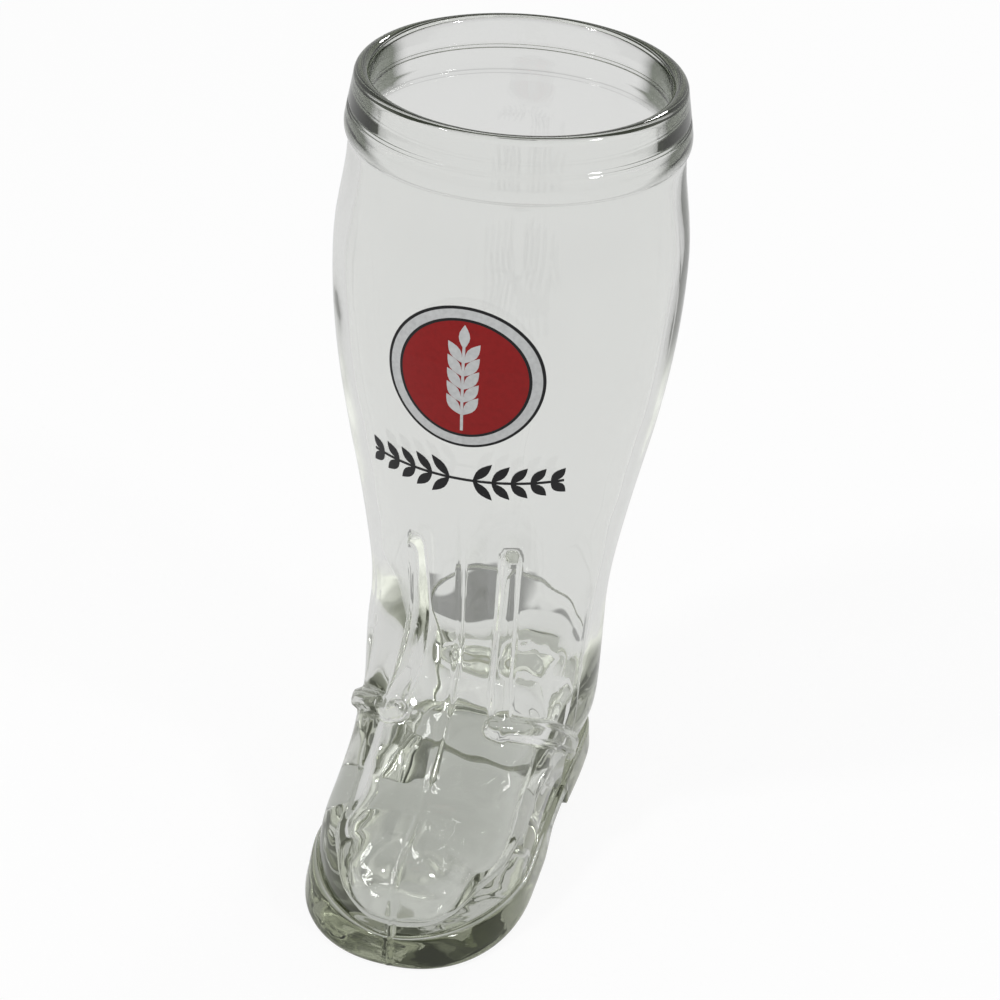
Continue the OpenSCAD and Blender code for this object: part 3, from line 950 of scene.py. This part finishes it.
@dataclass
class Wiring:
    """Makes and joins the nodes of one material or of the world."""

    tree: bpy.types.NodeTree

    def node(self, kind: str, values: Values | None = None, **settings: object) -> bpy.types.Node:
        """Makes a node.

        Args:
            kind: Blender's name of the node, without ShaderNode.
            values: what its inputs are joined to or set to.
            settings: its options.

        Returns:
            The node.
        """
        made = self.tree.nodes.new("ShaderNode" + kind)
        for name, value in settings.items():
            setattr(made, name, value)
        return self.fill(made, values or {})

    def fill(self, node: bpy.types.Node, values: Values) -> bpy.types.Node:
        """Joins a node's inputs to sockets, or sets them to numbers and colours.

        Args:
            node: the node.
            values: a socket or a value for the name or the number of each input.

        Returns:
            The same node.
        """
        for key, value in values.items():
            if isinstance(value, Socket):
                self.tree.links.new(value, node.inputs[key])
            else:
                node.inputs[key].default_value = value
        return node

    def math(self, operation: str, *values: Value) -> Socket:
        """What an operation of a Math node gives for the values."""
        return self.node("Math", dict(enumerate(values)), operation=operation).outputs[0]

    def between(self, value: Socket, given: Span, made: Span = (0, 1), curve: str = "SMOOTHSTEP") -> Socket:
        """A value that goes from one end of made to the other while the given one does so.

        Args:
            value: the given value.
            given: its two ends.
            made: the two ends of the result.
            curve: how it goes, smoothly or LINEAR.

        Returns:
            The result.
        """
        names = ("Value", "From Min", "From Max", "To Min", "To Max")
        numbers = dict(zip(names, (value, *given, *made)))
        return self.node("MapRange", numbers, interpolation_type=curve).outputs["Result"]

    def ramp(self, value: Socket, stops: Sequence[tuple[float, Sequence[float]]]) -> Socket:
        """The colour at a value between stops, each of which is a place and a colour.

        Args:
            value: the value.
            stops: places and colours, in order.

        Returns:
            The colour.
        """
        made = self.node("ValToRGB", {"Fac": value})
        elements = made.color_ramp.elements
        while len(elements) < len(stops):
            elements.new(0.5)
        for element, (at, colour) in zip(elements, stops):
            element.position = at
            element.color = (*colour, 1)
        return made.outputs["Color"]

    def noise(self, place: Socket, scale: float, detail: float) -> Socket:
        """Smooth noise between 0 and 1 at a place."""
        return self.node("TexNoise", {"Vector": place, "Scale": scale, "Detail": detail}).outputs["Fac"]

    def mixed(self, share: Socket, first: Value, second: Value) -> Socket:
        """The colour that goes from the first to the second with the share."""
        values = {"Factor": share, "A": first, "B": second}
        return self.node("Mix", values, data_type="RGBA").outputs["Result"]

    def rays(self, *names: str) -> Socket:
        """A value that is 1 for the named kinds of ray.

        Args:
            names: names of Light Path's outputs.

        Returns:
            The value.
        """
        path = self.node("LightPath").outputs
        total = path[names[0]]
        for name in names[1:]:
            total = self.math("MAXIMUM", total, path[name])
        return total


def new_material(name: str) -> tuple[bpy.types.Material, Wiring, bpy.types.Node, bpy.types.Node]:
    """Starts a material.

    Args:
        name: its name.

    Returns:
        The material, its wiring, its shader and its output.
    """
    made = bpy.data.materials.new(name)
    made.use_nodes = True
    nodes = made.node_tree.nodes
    return made, Wiring(made.node_tree), nodes["Principled BSDF"], nodes["Material Output"]


@dataclass(frozen=True)
class ClearGlass:
    """Clear soda-lime glass with a grey-olive tint, darker where it is thick, with painted shade on the
    sole and the collar, stippled underneath.

    The arch is the y of its middle, and how far from it the sole's painted shade starts and is full. The
    zones are the heights of the colours in centimetres, from the underside's painted shade to the darker
    painted shade on the side of the sole and the clear tint.
    band_top is in millimetres. What is caught is height and colour of the light that rays caught in
    the thick glass would have brought out.
    """

    tint: Colour = (0.985, 0.99, 0.98)
    # painted shade: the underside and the side of the sole are darker, standing for the thick sole's dark
    # reflections; band_top, zones and arch place it
    under: Colour = (0.50, 0.52, 0.47)
    sole_side_shade: Colour = (0.27, 0.29, 0.19)
    band_top: float = 7.6
    zones: tuple[float, ...] = (0.0, 0.04, 0.09, 0.82, 0.92, 1.0)
    # painted shade: the dark colour laid where the collar is seen at a slant, with the facing and the
    # heights it covers
    slant: Colour = (0.055, 0.065, 0.045)
    slant_facing: Span = (0.38, 0.52)
    slant_z: Span = (0.184, 0.188)
    arch: tuple[float, float, float] = (-0.0015, 0.0095, 0.0135)
    arch_rise: float = 100.0
    absorbs: Colour = (0.544, 0.56, 0.492)
    density: float = 14.0
    ior: float = 1.51
    stipple_scale: float = 150.0
    stipple_z: Span = (0.00012, 0.00004)
    stipple_strength: float = 0.12
    stipple_deep: float = 0.0008
    bounced: float = 3.5
    lost: float = 6.5
    lost_share: float = 0.75
    cloud_scale: float = 95.0
    cloud_noise: Span = (0.32, 0.68)
    cloud_light: Span = (0.65, 1.35)
    caught: Table = (
        (0.000, 0.030, 0.034, 0.018), (0.010, 0.045, 0.050, 0.028), (0.019, 0.15, 0.16, 0.13),
        (0.034, 0.46, 0.47, 0.43), (0.112, 0.52, 0.53, 0.50), (0.130, 0.035, 0.038, 0.030),
        (0.200, 0.018, 0.021, 0.014))

    def material(self) -> bpy.types.Material:
        """Principled glass with an absorbing volume, all in Object coordinates.

        Returns:
            The material.
        """
        made, wiring, shader, end = new_material("clear_glass")
        place = wiring.node("TexCoord").outputs["Object"]
        parts = wiring.node("SeparateXYZ", {"Vector": place}).outputs
        stipple = wiring.node("Bump", {
            "Strength": wiring.between(parts["Z"], self.stipple_z, (0, self.stipple_strength), "LINEAR"),
            "Distance": self.stipple_deep,
            "Height": wiring.noise(place, self.stipple_scale, detail=1.0)})
        wiring.fill(shader, {
            "Base Color": self.tint_and_painted_shade(wiring, parts["Y"], parts["Z"]),
            "Roughness": 0.0,
            "IOR": self.ior,
            "Transmission Weight": 1.0,
            "Normal": stipple.outputs["Normal"],
            "Emission Color": self.caught_light(wiring, place, parts["Z"]),
            "Emission Strength": 1.0})
        volume = wiring.node("VolumeAbsorption", {"Color": (*self.absorbs, 1), "Density": self.density})
        wiring.fill(end, {"Volume": volume.outputs["Volume"]})
        return made

    def tint_and_painted_shade(self, wiring: Wiring, y: Socket, z: Socket) -> Socket:
        """The glass's colour: clear, with painted shade round the sole and where the collar is seen at a
        slant.

        Over the arch the height that picks the colour stays 0, and elsewhere it rises with z. Above
        band_top it rises at once to the clear tint on all sides.

        Args:
            wiring: the material's nodes.
            y: the place along the boot.
            z: the height.

        Returns:
            The colour.
        """
        # painted shade of the sole: darker colours below band_top, kept to the underside's colour over the
        # arch
        middle, near, far = self.arch
        off = wiring.math("ABSOLUTE", wiring.math("SUBTRACT", y, middle))
        low = wiring.math("MULTIPLY", z, wiring.between(off, (near, far), (0, self.arch_rise)))
        above = wiring.math("MULTIPLY_ADD", z, 1 / MM, -self.band_top)
        tint_and_shades = (self.under, self.under, self.sole_side_shade, self.sole_side_shade, self.tint, self.tint)
        zones = wiring.ramp(wiring.math("MAXIMUM", low, above), tuple(zip(self.zones, tint_and_shades)))
        # painted shade: the collar is darkened where its surface is seen at a slant
        facing = wiring.node("LayerWeight", {"Blend": 0.5}).outputs["Facing"]
        slanted = wiring.between(facing, self.slant_facing)
        cover = wiring.math("MULTIPLY", slanted, wiring.between(z, self.slant_z))
        return wiring.mixed(cover, zones, (*self.slant, 1))

    def caught_light(self, wiring: Wiring, place: Socket, z: Socket) -> Socket:
        """The light of rays that the renderer gives up in the thick glass, by height and in clouds.

        Args:
            wiring: the material's nodes.
            place: Object coordinates.
            z: the height.

        Returns:
            The emission colour, black for all other rays.
        """
        top = self.caught[-1][0]
        stops = [(at / top, colour) for at, *colour in self.caught]
        light = wiring.ramp(wiring.math("DIVIDE", z, top), stops)
        cloud = wiring.noise(place, self.cloud_scale, detail=3.0)
        patch = wiring.between(cloud, self.cloud_noise, self.cloud_light, "LINEAR")
        path = wiring.node("LightPath").outputs
        bounced = wiring.math("GREATER_THAN", path["Glossy Depth"], self.bounced)
        lost = wiring.math("GREATER_THAN", path["Ray Depth"], self.lost)
        either = wiring.math("MAXIMUM", bounced, wiring.math("MULTIPLY", lost, self.lost_share))
        amount = wiring.math("MULTIPLY", either, patch)
        return wiring.node("VectorMath", {0: light, "Scale": amount}, operation="SCALE").outputs["Vector"]


@dataclass(frozen=True)
class EnamelGrain:
    """The fine grain of fired enamel, one node group that every coat's material holds.

    The colour goes from Dark to Full while smooth noise goes through the span, and the noise is also
    the Height.
    """

    name: str = "enamel_grain"
    scale: float = 900.0
    detail: float = 4.0
    span: Span = (0.30, 0.62)
    sockets: tuple[tuple[str, str, str], ...] = (
        ("Place", "INPUT", "NodeSocketVector"), ("Full", "INPUT", "NodeSocketColor"),
        ("Dark", "INPUT", "NodeSocketColor"), ("Colour", "OUTPUT", "NodeSocketColor"),
        ("Height", "OUTPUT", "NodeSocketFloat"))

    def group(self) -> bpy.types.NodeTree:
        """Makes the node group.

        Returns:
            The group, with its sockets.
        """
        made = bpy.data.node_groups.new(self.name, "ShaderNodeTree")
        for name, way, kind in self.sockets:
            made.interface.new_socket(name=name, in_out=way, socket_type=kind)
        wiring = Wiring(made)
        given = made.nodes.new("NodeGroupInput").outputs
        height = wiring.noise(given["Place"], self.scale, self.detail)
        share = wiring.between(height, self.span, curve="LINEAR")
        colour = wiring.mixed(share, given["Dark"], given["Full"])
        wiring.fill(made.nodes.new("NodeGroupOutput"), {"Colour": colour, "Height": height})
        return made


@dataclass(frozen=True)
class FiredEnamel:
    """Opaque enamel fired on the glass, satin, with a fine orange peel."""

    name: str
    colour: Colour
    roughness: float
    gloss: float = 0.22
    dark: float = 0.86
    peel: float = 0.15
    peel_deep: float = 0.0002

    def material(self, group: bpy.types.NodeTree) -> bpy.types.Material:
        """Principled enamel whose colour and height vary a little with Object coordinates.

        Args:
            group: the grain's node group.

        Returns:
            The material.
        """
        made, wiring, shader, _end = new_material(self.name)
        grain = wiring.node("Group", node_tree=group)
        wiring.fill(grain, {
            "Place": wiring.node("TexCoord").outputs["Object"],
            "Full": (*self.colour, 1),
            "Dark": (*(self.dark * c for c in self.colour), 1)})
        bumps = {"Strength": self.peel, "Distance": self.peel_deep, "Height": grain.outputs["Height"]}
        wiring.fill(shader, {
            "Base Color": grain.outputs["Colour"],
            "Normal": wiring.node("Bump", bumps).outputs["Normal"],
            "Roughness": self.roughness,
            "Specular IOR Level": self.gloss})
        return made


class Enamel(Enum):
    """The coats of the print, one for each firing."""

    SILVER = FiredEnamel("silver_enamel", (0.56, 0.57, 0.57), 0.30)
    RED = FiredEnamel("red_enamel", (0.27, 0.008, 0.008), 0.35)
    BLACK = FiredEnamel("black_enamel", (0.012, 0.012, 0.013), 0.35)


@dataclass
class Print:
    """The enamel print on the leg: the CAD skins with their finishes."""

    coats: dict[str, Enamel] = field(default_factory=lambda: {
        "print_silver": Enamel.SILVER, "print_red": Enamel.RED, "print_black": Enamel.BLACK})

    def dress(self) -> None:
        """Gives each skin its enamel."""
        grain = EnamelGrain().group()
        for node, coat in self.coats.items():
            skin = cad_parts[node].data
            skin.materials.clear()
            skin.materials.append(coat.value.material(grain))
            log.info("%s dressed", node)


# Studio


@dataclass(frozen=True)
class Lamp:
    """A soft rectangular lamp that looks at the boot's middle."""

    name: str
    place: Place
    size: Span
    watts: float
    aim: Place = (0, 0, 0.08)

    def hang(self) -> None:
        """Puts the lamp in the scene."""
        data = bpy.data.lights.new(self.name, "AREA")
        data.shape = "RECTANGLE"
        data.size, data.size_y = self.size
        data.energy = self.watts
        obj = bpy.data.objects.new(self.name, data)
        bpy.context.collection.objects.link(obj)
        obj.location = self.place
        obj.rotation_mode = "QUATERNION"
        obj.rotation_quaternion = (Vector(self.aim) - Vector(self.place)).to_track_quat("-Z", "Y")


@dataclass
class Studio:
    """Pale floor, soft lamps, plain sky and the camera of the photograph.

    To the glass the floor is a bright sheet that is dimmer beyond sheet_edge, with a painted shadow behind
    the ankle: a soft grey patch that stands for the boot's own shadow on the floor. To the camera it is
    white: own_light is the share of its own glow, and the rest is lamplight, in which the boot's shadow
    shows.
    """

    floor_half: float = 4.0
    floor_z: float = -0.00005
    floor_colour: tuple[float, ...] = (0.86, 0.86, 0.86, 1)
    sheet_centre: Place = (-0.1, 0.5, 0)
    sheet_edge: Span = (0.66, 1.6)
    sheet_glow: float = 0.73
    room_glow: float = 0.57
    own_light: float = 0.9
    # painted shadow behind the ankle, seen in reflections and through the glass: its middle, its direction,
    # its half sizes and the glow it leaves
    shadow_patch_at: Place = (-0.0190, 0.1026, 0)
    shadow_patch_way: Place = (0.9443, 0.3290, 0)
    shadow_patch_half: Span = (0.0225, 0.0165)
    shadow_patch_leaves: float = 0.26
    room: tuple[float, ...] = (0.20, 0.21, 0.19, 1)
    backdrop: tuple[float, ...] = (0.74, 0.74, 0.74, 1)
    backdrop_top: Span = (0.35, 0.75)
    sky_light: tuple[float, ...] = (0.55, 0.55, 0.55, 1)
    camera_at: Place = (0.13024, -0.56369, 0.44205)
    right: Place = (0.9677, 0.2462, 0.0548)
    up: Place = (-0.1723, 0.4861, 0.8568)
    lens: float = 98.40
    sensor: float = 36.0
    clip: Span = (0.01, 100)
    lamps: tuple[Lamp, ...] = (
        Lamp("key_lamp", (-0.55, -0.45, 0.95), (0.12, 0.12), 4.0),
        Lamp("fill_lamp", (0.75, -0.25, 0.75), (0.1, 0.2), 2.0),
        Lamp("back_lamp", (0.15, 0.95, 0.85), (0.16, 0.1), 2.5))

    def shadow_patch(self, wiring: Wiring, place: Socket) -> Socket:
        """A value that falls below 1 over the painted shadow behind the ankle, soft at its edges.

        Args:
            wiring: the floor's nodes.
            place: Object coordinates.

        Returns:
            The value, 1 off the painted shadow.
        """
        away = wiring.node("VectorMath", {0: place, 1: self.shadow_patch_at}, operation="SUBTRACT")
        inside = []
        for way, half in zip((self.shadow_patch_way, (-self.shadow_patch_way[1], self.shadow_patch_way[0], 0)), self.shadow_patch_half):
            sides = {0: away.outputs["Vector"], 1: way}
            along = wiring.node("VectorMath", sides, operation="DOT_PRODUCT").outputs["Value"]
            off = wiring.math("ABSOLUTE", along)
            inside.append(wiring.between(off, (0.8 * half, 1.1 * half), (1, 0)))
        return wiring.between(wiring.math("MULTIPLY", *inside), (0, 1), (1, self.shadow_patch_leaves))

    def floor(self) -> bpy.types.Object:
        """A wide pale floor: white to the camera, and to the glass a pale sheet in a dimmer room.

        Returns:
            The floor.
        """
        s = self.floor_half
        mesh = bpy.data.meshes.new("studio_floor")
        mesh.from_pydata([(-s, -s, 0), (s, -s, 0), (s, s, 0), (-s, s, 0)], [], [(0, 1, 2, 3)])
        obj = bpy.data.objects.new("studio_floor", mesh)
        bpy.context.collection.objects.link(obj)
        obj.location.z = self.floor_z
        made, wiring, shader, end = new_material("pale_floor")
        wiring.fill(shader, {"Base Color": self.floor_colour, "Roughness": 0.9})
        place = wiring.node("TexCoord").outputs["Object"]
        away = wiring.node("VectorMath", {0: place, 1: self.sheet_centre}, operation="DISTANCE")
        sheet = wiring.between(away.outputs["Value"], self.sheet_edge, (self.sheet_glow, self.room_glow))
        # painted shadow: the patch darkens the floor's glow seen in reflections and through the glass
        shade = wiring.math("MULTIPLY", sheet, self.shadow_patch(wiring, place))
        glow = wiring.node("Emission", {
            "Strength": wiring.math("MAXIMUM", shade, wiring.rays("Is Camera Ray"))})
        seen = wiring.rays("Is Camera Ray", "Is Glossy Ray", "Is Transmission Ray")
        join = wiring.node("MixShader", {
            "Fac": wiring.math("MULTIPLY", seen, self.own_light),
            1: shader.outputs["BSDF"],
            2: glow.outputs["Emission"]})
        wiring.fill(end, {"Surface": join.outputs["Shader"]})
        mesh.materials.append(made)
        return obj

    def sky(self) -> None:
        """World: white for the camera, and for glass pale walls under a dim ceiling."""
        world = bpy.data.worlds.new("studio_sky")
        bpy.context.scene.world = world
        world.use_nodes = True
        wiring = Wiring(world.node_tree)
        place = wiring.node("TexCoord").outputs["Generated"]
        tall = wiring.node("SeparateXYZ", {"Vector": place}).outputs["Z"]
        room = wiring.mixed(wiring.between(tall, self.backdrop_top, (1, 0)), self.room, self.backdrop)
        plain = wiring.mixed(wiring.rays("Is Camera Ray"), self.sky_light, (1, 1, 1, 1))
        seen = wiring.mixed(wiring.rays("Is Glossy Ray", "Is Transmission Ray"), plain, room)
        wiring.fill(world.node_tree.nodes["Background"], {"Color": seen})

    def camera(self) -> None:
        """The photograph's camera, from its fitted place and its right and up directions."""
        data = bpy.data.cameras.new("photo_camera")
        data.lens = self.lens
        data.sensor_width = self.sensor
        data.clip_start, data.clip_end = self.clip
        obj = bpy.data.objects.new("photo_camera", data)
        bpy.context.collection.objects.link(obj)
        right, up = Vector(self.right), Vector(self.up)
        turn = Matrix((right, up, right.cross(up))).transposed().to_4x4()
        obj.matrix_world = Matrix.Translation(self.camera_at) @ turn
        bpy.context.scene.camera = obj

    def build(self) -> None:
        """Sets up the camera, the floor, the sky and the lamps."""
        self.camera()
        self.floor()
        self.sky()
        for lamp in self.lamps:
            lamp.hang()
        bpy.context.scene.view_settings.view_transform = "Standard"


def main() -> None:
    """Builds the studio, the glass and the print."""
    logging.basicConfig(level=logging.INFO)
    Studio().build()
    log.info("studio built")
    GlassBoot().build()
    log.info("glass built")
    Print().dress()


if __name__ == "__main__":
    main()
